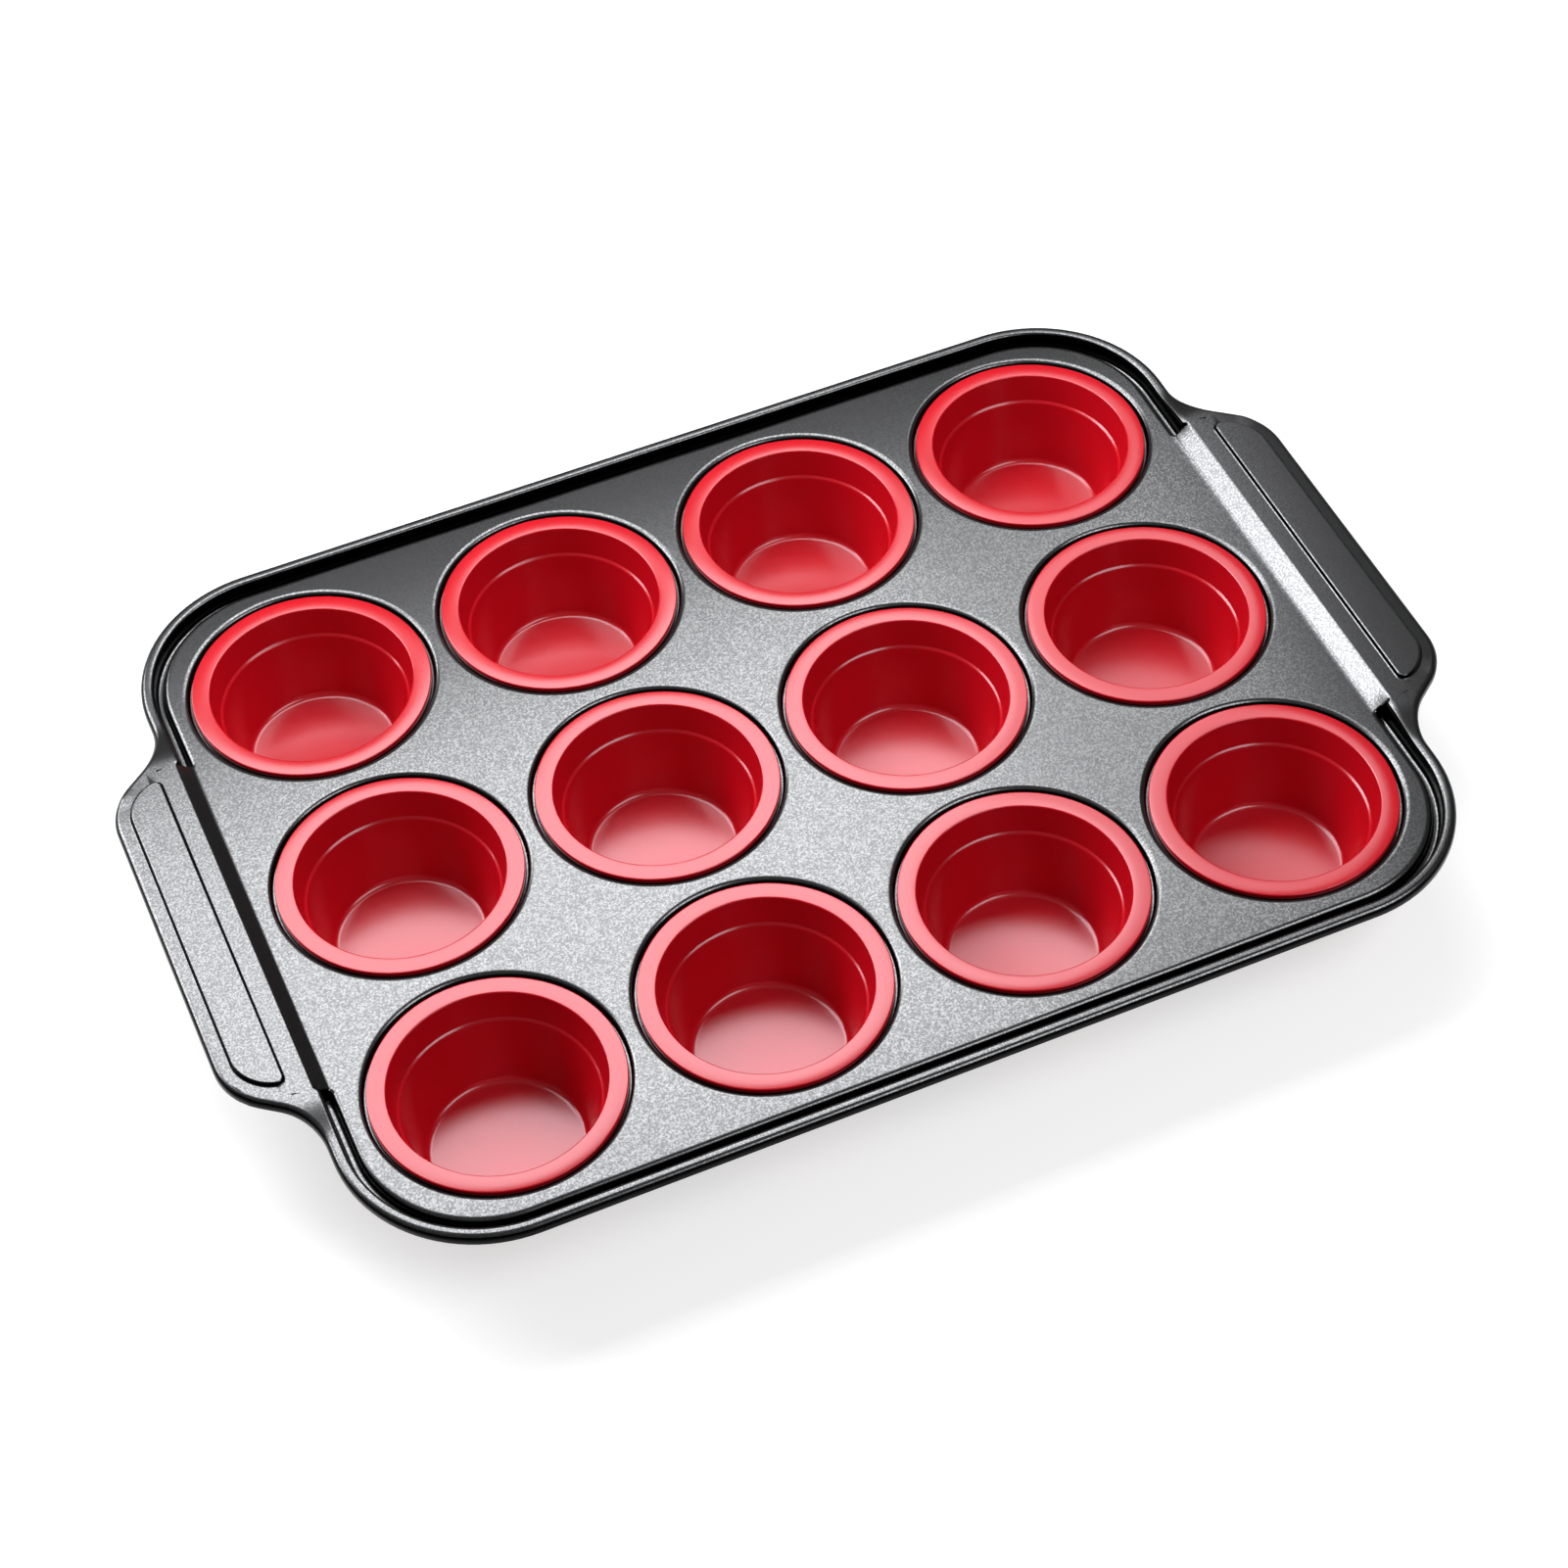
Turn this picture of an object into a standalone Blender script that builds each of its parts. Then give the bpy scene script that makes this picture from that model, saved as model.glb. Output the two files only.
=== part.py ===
"""Muffin pan: a pressed steel tray with round seats, each holding a lift-out silicone cup.

The tray is one sheet: a floor with a stepped seat and a turned-down hole for every cup,
a groove and a raised rim round it, and at each end a ramp up to a handle plate with a
raised panel. The cups hang in the seats by their flanges and stand on their bases.
Lengths are in metres. X runs from handle to handle, Z is up, and the cups' bases are at Z = 0.
"""

import math
from collections import namedtuple

import bmesh
import bpy
from mathutils import Vector

MM = 0.001

# How many cups, and the steps of each round
COLUMNS = 4
ROWS = 3
ROUND_STEPS = 20
CORNER_STEPS = 7
SHOULDER_STEPS = 4
PANEL_OUTER_STEPS = 4
PANEL_INNER_STEPS = 3

# Silicone cup: radii from its own axis, depths from its top
CUP_HEIGHT = 34.0 * MM
CUP_WALL = 1.5 * MM
MOUTH_RADIUS = 32.3 * MM
MOUTH_EDGE = 0.6 * MM
FLANGE_WIDTH = 5.7 * MM
FLANGE_THICKNESS = 2.0 * MM
FLANGE_EDGE = 0.5 * MM
NECK_LENGTH = 4.4 * MM
UPPER_TAPER = 2.1 * MM
LEDGE_DEPTH = 9.2 * MM
LEDGE_WIDTH = 0.9 * MM
LEDGE_DROP = 0.6 * MM
LOWER_TAPER = 5.3 * MM
BASE_THICKNESS = 1.8 * MM
BASE_CORNER = 1.2 * MM
BASE_FILLET = 1.8 * MM

# Room between a cup and the tray
FLANGE_CLEARANCE = 1.1 * MM
SEAT_CLEARANCE = 0.3 * MM
NECK_CLEARANCE = 0.3 * MM

# Steel sheet: its thickness and the inside radius of its bends
SHEET = 0.7 * MM
BEND = 0.2 * MM

# Seats and the floor round them
SEAT_DEPTH = 2.3 * MM
LIP_DEPTH = 2.8 * MM
WEB_X = 4.0 * MM
WEB_Y = 5.0 * MM
FLOOR_MARGIN_X = 2.8 * MM
FLOOR_MARGIN_Y = 3.6 * MM
CORNER_RADIUS = 37.6 * MM

# Groove and raised rim round the floor, heights from the floor
GROOVE_WIDTH = 4.2 * MM
GROOVE_DEPTH = 3.7 * MM
GROOVE_LEAN = 0.3 * MM
GROOVE_ROUND = 1.3 * MM
RIM_HEIGHT = 2.2 * MM
RIM_WIDTH = 4.2 * MM
SKIRT_DEPTH = 3.0 * MM

# Handles: plate, ramp up to it, and the shoulders that run out from the rim
HANDLE_HEIGHT = 4.0 * MM
HANDLE_REACH = 21.9 * MM
HANDLE_END_MARGIN = 5.3 * MM
SHOULDER_LENGTH = 38.0 * MM
SHOULDER_STRAIGHT = 6.5 * MM
RAMP_START = 0.2 * MM
RAMP_WIDTH = 6.2 * MM
RAMP_FOOT_ROUND = 2.2 * MM
RAMP_HEAD_ROUND = 1.2 * MM
RAMP_SETBACK = 21.0 * MM
NOTCH_LENGTH = 3.0 * MM

# Panel pressed up in each handle plate, measured at the foot of its sloping edge
PANEL_RISE = 0.8 * MM
PANEL_SLOPE = 1.7 * MM
PANEL_ROLL = 0.4 * MM
PANEL_FROM_RAMP = 5.2 * MM
PANEL_FROM_EDGE = 4.6 * MM
PANEL_FROM_NOTCH = 6.5 * MM
PANEL_OUTER_ROUND = 14.0 * MM
PANEL_INNER_ROUND = 3.2 * MM

# Cup radii and the levels of the tray, from the sizes above
NECK_RADIUS = MOUTH_RADIUS + CUP_WALL
FLANGE_RADIUS = MOUTH_RADIUS + FLANGE_WIDTH
LEDGE_RADIUS = MOUTH_RADIUS - UPPER_TAPER
BODY_RADIUS = LEDGE_RADIUS - LEDGE_WIDTH
BASE_RADIUS = BODY_RADIUS - LOWER_TAPER + CUP_WALL
FLOOR_LEVEL = CUP_HEIGHT - FLANGE_THICKNESS - SEAT_CLEARANCE + SEAT_DEPTH

# Plan of the tray, from its middle
EDGE = SHEET + BEND
HOLE_RADIUS = NECK_RADIUS + NECK_CLEARANCE
SEAT_RADIUS = FLANGE_RADIUS + FLANGE_CLEARANCE
SEAT_MOUTH_RADIUS = SEAT_RADIUS + EDGE
PITCH_X = 2 * SEAT_MOUTH_RADIUS + WEB_X
PITCH_Y = 2 * SEAT_MOUTH_RADIUS + WEB_Y
FLOOR_HALF_X = PITCH_X * (COLUMNS - 1) / 2 + SEAT_MOUTH_RADIUS + FLOOR_MARGIN_X + EDGE
FLOOR_HALF_Y = PITCH_Y * (ROWS - 1) / 2 + SEAT_MOUTH_RADIUS + FLOOR_MARGIN_Y + EDGE
CORNER_X = FLOOR_HALF_X - CORNER_RADIUS
CORNER_Y = FLOOR_HALF_Y - CORNER_RADIUS
RIM_OFFSET = GROOVE_WIDTH + RIM_WIDTH
HANDLE_X = FLOOR_HALF_X + RIM_OFFSET + HANDLE_REACH

# A shoulder is an arc out of the rim, a straight and an equal arc into the handle's outer edge
SHOULDER_FOOT_Y = CORNER_Y - HANDLE_END_MARGIN
SHOULDER_HEAD_Y = SHOULDER_FOOT_Y - SHOULDER_LENGTH
SHOULDER_TURN = 2 * math.atan(HANDLE_REACH / (SHOULDER_LENGTH + SHOULDER_STRAIGHT))
SHOULDER_RADIUS = (SHOULDER_LENGTH - SHOULDER_STRAIGHT * math.cos(SHOULDER_TURN)) / (
    2 * math.sin(SHOULDER_TURN)
)

# The ramp stands between two notches, where the groove ends
NOTCH_Y = SHOULDER_HEAD_Y + RAMP_SETBACK
RAMP_END_Y = NOTCH_Y - NOTCH_LENGTH

# The ramp's slope touches a round at its foot and one at its head
RAMP_ROUNDS = RAMP_FOOT_ROUND + RAMP_HEAD_ROUND
RAMP_SLOPE = math.atan2(HANDLE_HEIGHT - RAMP_ROUNDS, RAMP_WIDTH) + math.asin(
    RAMP_ROUNDS / math.hypot(RAMP_WIDTH, HANDLE_HEIGHT - RAMP_ROUNDS)
)

# A panel's outline, whose wide outer rounds run into the tight ones by the ramp
PANEL_NEAR_X = FLOOR_HALF_X + RAMP_START + RAMP_WIDTH + PANEL_FROM_RAMP
PANEL_FAR_X = HANDLE_X - PANEL_FROM_EDGE
PANEL_HALF_Y = NOTCH_Y - PANEL_FROM_NOTCH
PANEL_OVERLAP = max(PANEL_OUTER_ROUND + PANEL_INNER_ROUND + PANEL_NEAR_X - PANEL_FAR_X, 0.0)
PANEL_APART = math.sqrt((PANEL_OUTER_ROUND - PANEL_INNER_ROUND) ** 2 - PANEL_OVERLAP**2)
PANEL_TURN = math.atan2(PANEL_APART, PANEL_OVERLAP)

SHARP_ANGLE = math.radians(35)

# A place along the border: a point of the floor's edge and the direction out from it
Station = namedtuple("Station", "x y out_x out_y on_ramp")


def clear_scene():
    """Remove what the startup file holds."""
    for old in list(bpy.data.objects):
        bpy.data.objects.remove(old, do_unlink=True)


def principled(name, color, roughness, metallic):
    """A plain material of one colour."""
    material = bpy.data.materials.new(name)
    material.use_nodes = True
    shader = material.node_tree.nodes["Principled BSDF"]
    shader.inputs["Base Color"].default_value = (*color, 1.0)
    shader.inputs["Roughness"].default_value = roughness
    shader.inputs["Metallic"].default_value = metallic
    return material


def finish_mesh(bm, name, material):
    """Turn the built surface into a smooth-shaded mesh."""
    mesh = bpy.data.meshes.new(name)
    bm.to_mesh(mesh)
    bm.free()
    mesh.materials.append(material)
    mesh.shade_smooth()
    mesh.set_sharp_from_angle(angle=SHARP_ANGLE)
    return mesh


def add_object(name, mesh, location, parent):
    """Place a mesh in the scene under the pan's empty."""
    piece = bpy.data.objects.new(name, mesh)
    piece.location = location
    piece.parent = parent
    bpy.context.collection.objects.link(piece)
    return piece


def edge_run(bm, verts, closed):
    """The edges between neighbouring verts of a run."""
    following = verts[1:] + verts[:1] if closed else verts[1:]
    run = []
    for here, there in zip(verts, following):
        edge = bm.edges.get((here, there))
        run.append(edge if edge else bm.edges.new((here, there)))
    return run


def loft(bm, sections, closed):
    """Quads between neighbouring sections, which all have the same number of verts."""
    following = sections[1:] + sections[:1] if closed else sections[1:]
    for here, there in zip(sections, following):
        for step in range(len(here) - 1):
            bm.faces.new((here[step], here[step + 1], there[step + 1], there[step]))


def cup_centres():
    """Row, column and plan position of each cup."""
    for row in range(ROWS):
        for column in range(COLUMNS):
            x = (column - (COLUMNS - 1) / 2) * PITCH_X
            y = (row - (ROWS - 1) / 2) * PITCH_Y
            yield row, column, x, y


def cup_profile():
    """Half section of a cup as radius and height, from the base's middle round to the inside."""
    top = CUP_HEIGHT
    under_flange = top - FLANGE_THICKNESS
    ledge = top - LEDGE_DEPTH
    body_top = ledge - LEDGE_DROP
    return (
        (0.0, 0.0),
        (BASE_RADIUS - BASE_CORNER, 0.0),
        (BASE_RADIUS, BASE_CORNER),
        (BODY_RADIUS + CUP_WALL, body_top - CUP_WALL),
        (NECK_RADIUS, under_flange - NECK_LENGTH),
        (NECK_RADIUS, under_flange),
        (FLANGE_RADIUS, under_flange),
        (FLANGE_RADIUS, top - FLANGE_EDGE),
        (FLANGE_RADIUS - FLANGE_EDGE, top),
        (MOUTH_RADIUS + MOUTH_EDGE, top),
        (MOUTH_RADIUS, top - MOUTH_EDGE),
        (LEDGE_RADIUS, ledge),
        (BODY_RADIUS, body_top),
        (BASE_RADIUS - CUP_WALL, BASE_THICKNESS + BASE_FILLET),
        (BASE_RADIUS - CUP_WALL - BASE_FILLET, BASE_THICKNESS),
        (0.0, BASE_THICKNESS),
    )


def cup_mesh(material):
    """Turn the cup's half section round its axis."""
    bm = bmesh.new()
    verts = [bm.verts.new((radius, 0.0, height)) for radius, height in cup_profile()]
    edges = edge_run(bm, verts, closed=False)
    bmesh.ops.spin(
        bm,
        geom=verts + edges,
        cent=(0.0, 0.0, 0.0),
        axis=(0.0, 0.0, 1.0),
        angle=math.tau,
        steps=ROUND_STEPS,
    )
    bmesh.ops.remove_doubles(bm, verts=bm.verts, dist=MM / 1000)
    bmesh.ops.recalc_face_normals(bm, faces=bm.faces)
    return finish_mesh(bm, "silicone_cup", material)


def seat_sections(bm, x, y):
    """Sections round one seat: rolled edge, wall, flat seat and turned-down lip of the hole."""
    profile = (
        (SEAT_MOUTH_RADIUS, 0.0),
        (SEAT_RADIUS, -EDGE),
        (SEAT_RADIUS, -SEAT_DEPTH),
        (HOLE_RADIUS, -SEAT_DEPTH),
        (HOLE_RADIUS, -SEAT_DEPTH - LIP_DEPTH),
    )
    sections = []
    for step in range(ROUND_STEPS):
        angle = math.tau * step / ROUND_STEPS
        across, along = math.cos(angle), math.sin(angle)
        section = [bm.verts.new((x + radius * across, y + radius * along, z)) for radius, z in profile]
        sections.append(section)
    return sections


def shoulder_ys():
    """Heights along Y at which the outer edge of a shoulder has a point, from the handle on."""
    turns = [SHOULDER_TURN * step / SHOULDER_STEPS for step in range(SHOULDER_STEPS + 1)]
    head = [SHOULDER_HEAD_Y + SHOULDER_RADIUS * math.sin(turn) for turn in turns]
    foot = [SHOULDER_FOOT_Y - SHOULDER_RADIUS * math.sin(turn) for turn in reversed(turns)]
    return head + foot


def outer_x(y, inset):
    """X of the tray's outer edge beside a handle, drawn in by an inset."""
    y = abs(y)
    head_radius = SHOULDER_RADIUS - inset
    foot_radius = SHOULDER_RADIUS + inset
    head_end = SHOULDER_HEAD_Y + head_radius * math.sin(SHOULDER_TURN)
    foot_end = SHOULDER_FOOT_Y - foot_radius * math.sin(SHOULDER_TURN)
    head_x = HANDLE_X - SHOULDER_RADIUS
    foot_x = FLOOR_HALF_X + RIM_OFFSET + SHOULDER_RADIUS
    if y <= SHOULDER_HEAD_Y:
        return HANDLE_X - inset
    if y >= SHOULDER_FOOT_Y:
        return FLOOR_HALF_X + RIM_OFFSET - inset
    if y <= head_end:
        return head_x + math.sqrt(head_radius**2 - (y - SHOULDER_HEAD_Y) ** 2)
    if y >= foot_end:
        return foot_x - math.sqrt(foot_radius**2 - (SHOULDER_FOOT_Y - y) ** 2)
    share = (y - head_end) / (foot_end - head_end)
    start = head_x + head_radius * math.cos(SHOULDER_TURN)
    end = foot_x - foot_radius * math.cos(SHOULDER_TURN)
    return start + (end - start) * share


def quarter_stations():
    """Stations from the end of the ramp, past the shoulder and round one corner."""
    stations = [
        Station(FLOOR_HALF_X, RAMP_END_Y, 1.0, 0.0, True),
        Station(FLOOR_HALF_X, NOTCH_Y, 1.0, 0.0, False),
    ]
    for y in shoulder_ys():
        if y > NOTCH_Y + EDGE:
            stations.append(Station(FLOOR_HALF_X, y, 1.0, 0.0, False))
    for step in range(CORNER_STEPS + 1):
        angle = math.pi / 2 * step / CORNER_STEPS
        out_x, out_y = math.cos(angle), math.sin(angle)
        x = CORNER_X + CORNER_RADIUS * out_x
        y = CORNER_Y + CORNER_RADIUS * out_y
        stations.append(Station(x, y, out_x, out_y, False))
    return stations


def border_stations():
    """The quarter's stations mirrored into a ring, counterclockwise from the right handle."""
    ring = []
    for side_x, side_y in ((1, 1), (-1, 1), (-1, -1), (1, -1)):
        quarter = quarter_stations()
        if side_x * side_y < 0:
            quarter.reverse()
        for place in quarter:
            mirrored = (place.x * side_x, place.y * side_y, place.out_x * side_x, place.out_y * side_y)
            ring.append(Station(*mirrored, place.on_ramp))
    return ring


def rim_top(y):
    """Height of the rim, which climbs along each shoulder to the handle plate."""
    share = (SHOULDER_FOOT_Y - abs(y)) / (SHOULDER_FOOT_Y - NOTCH_Y)
    share = min(max(share, 0.0), 1.0)
    blend = share * share * (3 - 2 * share)
    return RIM_HEIGHT + (HANDLE_HEIGHT - RIM_HEIGHT) * blend


def ramp_profile():
    """Offsets and heights up the ramp: round foot, straight slope and round head."""
    foot, head = [], []
    for share in (0.0, 0.5, 1.0):
        lean = RAMP_SLOPE * share
        foot.append((RAMP_FOOT_ROUND * math.sin(lean), RAMP_FOOT_ROUND * (1 - math.cos(lean))))
        across = RAMP_WIDTH - RAMP_HEAD_ROUND * math.sin(lean)
        head.insert(0, (across, HANDLE_HEIGHT - RAMP_HEAD_ROUND * (1 - math.cos(lean))))
    middle = ((foot[-1][0] + head[0][0]) / 2, (foot[-1][1] + head[0][1]) / 2)
    return [(RAMP_START + across, height) for across, height in foot + [middle] + head]


def groove_profile(top):
    """Offsets and heights across the groove: rolled edge, round-cornered channel and rim edge."""
    corner = min(GROOVE_ROUND, GROOVE_WIDTH / 2 - GROOVE_LEAN)
    near, far = GROOVE_LEAN, GROOVE_WIDTH - GROOVE_LEAN
    return [
        (0.0, -EDGE),
        (near, corner - GROOVE_DEPTH),
        (near + corner, -GROOVE_DEPTH),
        (far - corner, -GROOVE_DEPTH),
        (far, corner - GROOVE_DEPTH),
        (GROOVE_WIDTH, top - EDGE),
        (GROOVE_WIDTH + EDGE, top),
    ]


def border_profile(place):
    """Offsets and heights across the border, from the floor to the rim's inner edge."""
    return [(-EDGE, 0.0)] + (ramp_profile() if place.on_ramp else groove_profile(rim_top(place.y)))


def border_verts(bm, place, profile):
    """Verts of a section that stands square to the floor's edge."""
    verts = []
    for offset, height in profile:
        x = place.x + place.out_x * offset
        y = place.y + place.out_y * offset
        verts.append(bm.verts.new((x, y, height)))
    return verts


def skirt_profile(offset_at, top):
    """Offsets and heights of the outer edge: flat top, rolled edge and turned-down skirt."""
    return [(offset_at(EDGE), top), (offset_at(0.0), top - EDGE), (offset_at(0.0), top - SKIRT_DEPTH)]


def rim_offset_at(place):
    """How far the outer edge lies from the floor's edge at a station, for any inset."""
    if place.out_y == 0.0:
        return lambda inset: outer_x(place.y, inset) - FLOOR_HALF_X
    return lambda inset: RIM_OFFSET - inset


def arc(x, y, radius, start, end, steps):
    """Points along an arc, with both its ends."""
    turns = [start + (end - start) * step / steps for step in range(steps + 1)]
    return [(x + radius * math.cos(turn), y + radius * math.sin(turn)) for turn in turns]


def panel_loop(side, grow, height):
    """Points of a panel's outline, at one height and drawn out by grow."""
    tight_y = PANEL_HALF_Y - PANEL_INNER_ROUND
    wide_place = (PANEL_FAR_X - PANEL_OUTER_ROUND, tight_y - PANEL_APART)
    tight_place = (PANEL_NEAR_X + PANEL_INNER_ROUND, tight_y)
    wide = arc(*wide_place, PANEL_OUTER_ROUND + grow, 0.0, PANEL_TURN, PANEL_OUTER_STEPS)
    tight = arc(*tight_place, PANEL_INNER_ROUND + grow, PANEL_TURN, math.pi, PANEL_INNER_STEPS)
    half = wide + (tight[1:] if PANEL_OVERLAP else tight)
    outline = half + [(x, -y) for x, y in reversed(half)]
    return [(side * x, y, height) for x, y in outline]


def panel_sections(bm, side):
    """Sections round a panel: rolled foot, slope and rolled edge, up to its flat top."""
    slope = min(PANEL_SLOPE, PANEL_INNER_ROUND)
    roll = min(PANEL_ROLL, slope / 3)
    roll_rise = PANEL_RISE / (slope - roll) * roll / 2
    top = HANDLE_HEIGHT + PANEL_RISE
    loops = (
        panel_loop(side, 0.0, HANDLE_HEIGHT),
        panel_loop(side, -roll, HANDLE_HEIGHT + roll_rise),
        panel_loop(side, roll - slope, top - roll_rise),
        panel_loop(side, -slope, top),
    )
    return [[bm.verts.new(point) for point in points] for points in zip(*loops)]


def build_floor(bm, border):
    """Seats, and the flat floor between them and the border."""
    outline = edge_run(bm, [section[0] for section in border], closed=True)
    for _, _, x, y in cup_centres():
        seat = seat_sections(bm, x, y)
        loft(bm, seat, closed=True)
        outline += edge_run(bm, [section[0] for section in seat], closed=True)
    bmesh.ops.triangle_fill(bm, use_beauty=True, use_dissolve=False, edges=outline)


def build_rim(bm, ring, border):
    """Raised rim and skirt wherever there is no ramp, as runs of sections between the ramps."""
    rim = {}
    for place, section in zip(ring, border):
        if not place.on_ramp:
            edge = border_verts(bm, place, skirt_profile(rim_offset_at(place), rim_top(place.y)))
            rim[place] = [section[-1]] + edge
    for here, there in zip(ring, ring[1:] + ring[:1]):
        if here in rim and there in rim:
            loft(bm, [rim[here], rim[there]], closed=False)
    return rim


def build_handle(bm, side, ring, border, rim):
    """One handle: outer edge between the notches, raised panel, and the plate between them."""
    upper, lower = (
        next(place for place in rim if place.x * side > 0 and place.y == end) for end in (NOTCH_Y, -NOTCH_Y)
    )
    heights = [y for y in shoulder_ys() if y < NOTCH_Y - EDGE]
    sections = [rim[upper][1:]]
    for y in list(reversed(heights)) + [-y for y in heights]:
        place = Station(side * FLOOR_HALF_X, y, side, 0.0, False)
        sections.append(border_verts(bm, place, skirt_profile(rim_offset_at(place), HANDLE_HEIGHT)))
    sections.append(rim[lower][1:])
    loft(bm, sections, closed=False)

    ramp_top = [section[-1] for place, section in zip(ring, border) if place.on_ramp and place.x * side > 0]
    ramp_top.sort(key=lambda vert: vert.co.y)
    outline = [section[0] for section in sections] + [rim[lower][0]] + ramp_top + [rim[upper][0]]

    panel = panel_sections(bm, side)
    loft(bm, panel, closed=True)
    panel_foot = edge_run(bm, [section[0] for section in panel], closed=True)
    bmesh.ops.triangle_fill(
        bm, use_beauty=True, use_dissolve=False, edges=edge_run(bm, outline, closed=True) + panel_foot
    )
    bm.faces.new([section[-1] for section in panel])


def tray_mesh(material):
    """The sheet's upper surface, which the Solidify modifier thickens downwards."""
    bm = bmesh.new()
    ring = border_stations()
    border = [border_verts(bm, place, border_profile(place)) for place in ring]
    loft(bm, border, closed=True)
    build_floor(bm, border)
    rim = build_rim(bm, ring, border)
    for side in (1, -1):
        build_handle(bm, side, ring, border, rim)
    bmesh.ops.recalc_face_normals(bm, faces=bm.faces)
    bm.normal_update()
    widest = max(bm.faces, key=lambda face: face.calc_area())
    if widest.normal.dot(Vector((0.0, 0.0, 1.0))) < 0:
        bmesh.ops.reverse_faces(bm, faces=bm.faces)
    return finish_mesh(bm, "tray", material)


def add_sheet_thickness(tray):
    """Give the surface its sheet thickness, measured square to every face."""
    solidify = tray.modifiers.new("sheet", "SOLIDIFY")
    solidify.thickness = SHEET
    solidify.offset = -1.0
    solidify.use_even_offset = True
    solidify.use_quality_normals = True


def main():
    """Build the tray and one cup for each seat."""
    clear_scene()
    coated_steel = principled("coated_steel", color=(0.11, 0.11, 0.115), roughness=0.42, metallic=0.55)
    silicone = principled("red_silicone", color=(0.70, 0.012, 0.022), roughness=0.30, metallic=0.0)

    pan = bpy.data.objects.new("muffin_pan", None)
    bpy.context.collection.objects.link(pan)

    tray = add_object("tray", tray_mesh(coated_steel), (0.0, 0.0, FLOOR_LEVEL), pan)
    add_sheet_thickness(tray)

    cup = cup_mesh(silicone)
    for row, column, x, y in cup_centres():
        add_object(f"cup_row{row + 1}_col{column + 1}", cup, (x, y, 0.0), pan)


main()
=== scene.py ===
"""Looks of a coated steel muffin tray with lift-out silicone cups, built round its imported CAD."""
import math

import bmesh
import bpy
from bpy.props import FloatProperty, FloatVectorProperty, IntProperty, PointerProperty
from bpy.types import Operator, Panel, PropertyGroup
from mathutils import Matrix, Vector


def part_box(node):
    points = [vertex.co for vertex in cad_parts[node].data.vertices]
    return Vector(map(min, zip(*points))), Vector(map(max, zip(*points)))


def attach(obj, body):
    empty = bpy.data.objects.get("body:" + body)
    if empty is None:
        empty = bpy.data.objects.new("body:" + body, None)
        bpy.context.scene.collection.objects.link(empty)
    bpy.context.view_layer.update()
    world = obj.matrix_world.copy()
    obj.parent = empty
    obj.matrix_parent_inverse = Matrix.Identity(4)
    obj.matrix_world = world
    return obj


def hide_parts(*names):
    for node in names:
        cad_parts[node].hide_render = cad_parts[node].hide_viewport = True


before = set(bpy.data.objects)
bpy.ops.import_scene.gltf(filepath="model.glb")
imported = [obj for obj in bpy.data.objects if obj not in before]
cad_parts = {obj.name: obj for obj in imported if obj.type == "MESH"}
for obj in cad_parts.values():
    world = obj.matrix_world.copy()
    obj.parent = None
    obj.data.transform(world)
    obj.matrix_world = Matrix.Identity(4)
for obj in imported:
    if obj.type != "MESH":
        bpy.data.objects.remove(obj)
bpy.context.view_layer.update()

bl_info = {
    "name": "Muffin pan looks",
    "version": (1, 0, 0),
    "blender": (4, 5, 0),
    "location": "View3D > Sidebar > Muffin pan",
    "description": "Models the pressed tray, its silicone cups and a pale studio round the CAD",
    "category": "Object",
}

MM = 0.001
CLOSE = 0.001 * MM
SMOOTH_ANGLE = math.radians(35)

# The panels stand this much higher than in the CAD, so that their walls show as lines.
PANEL_LIFT = 0.4 * MM

# Narrow flats left beside rolls and rounds, so that their smooth normals start level.
FLOOR_LAP = 0.7 * MM
RIM_LAP = 0.3 * MM
EDGE_LAP = 0.1 * MM
SEAT_LAP = 0.2 * MM
PANEL_LAP = 0.1 * MM

# How much shorter each round of a panel's outline is, so that two never meet in a point.
ROUND_GAP = 0.15 * MM

# Shares of the ramp's half length; the short last one keeps the notch out of its shading.
RAMP_PARTS = (0.45, 0.45, 0.1)

# Grains to the metre.
COATING_GRAIN = 1600.0
SILICONE_GRAIN = 1500.0

# Upward part of the normal on a steep wall and on level sheet, and the share of the coating's
# colour a wall keeps: painted shade that stands in for the dark reflections of steep walls.
STEEP_WALL = 0.68
LEVEL_SHEET = 0.78
PAINTED_WALL_SHADE = 0.04

# Name, place, width, height and radiance of each light. The second top light hangs just
# under the first, because two in one plane hide each other in reflections.
SOFTBOXES = (
    ("top_softbox", (-0.009, 0.294, 0.5), 0.78, 0.3, 3.5),
    ("top_softbox_middle", (-0.0089, 0.291, 0.495), 0.46, 0.265, 3.5),
    ("left_softbox", (-0.64, 0.745, 0.69), 0.62, 0.46, 8.6),
    ("front_softbox", (0.5, -0.64, 1.08), 0.8, 0.5, 5.0),
)
ROOM_STOPS = ((0.0, 0.06), (0.04, 0.06), (0.22, 0.07), (0.5, 0.1), (1.0, 0.25))
FLOOR_SIZE = 40.0
FLOOR_GLOW = 0.62
CAMERA_PLACE = (-0.25784, -0.68222, 0.87268)
CAMERA_TURN = (40.24792, 2.18418, -23.24584)
CAMERA_LENS = 82.28
CAMERA_SENSOR = 36.0

CUP_NODES = sorted(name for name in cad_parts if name.startswith("cup_"))
TRAY_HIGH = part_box("tray")[1]
CUP_LOW, CUP_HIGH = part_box(CUP_NODES[0])
FLANGE_RADIUS = (CUP_HIGH.x - CUP_LOW.x) / 2


def length(name, description, default):
    """A size in metres."""
    return FloatProperty(
        name=name, description=description, default=default, min=0.0, precision=5, unit="LENGTH"
    )


def count(name, description, default):
    """A number of steps along a curve."""
    return IntProperty(name=name, description=description, default=default, min=1)


def share(name, description, default):
    """A value from nought to one."""
    return FloatProperty(
        name=name, description=description, default=default, min=0.0, max=1.0, subtype="FACTOR"
    )


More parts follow.
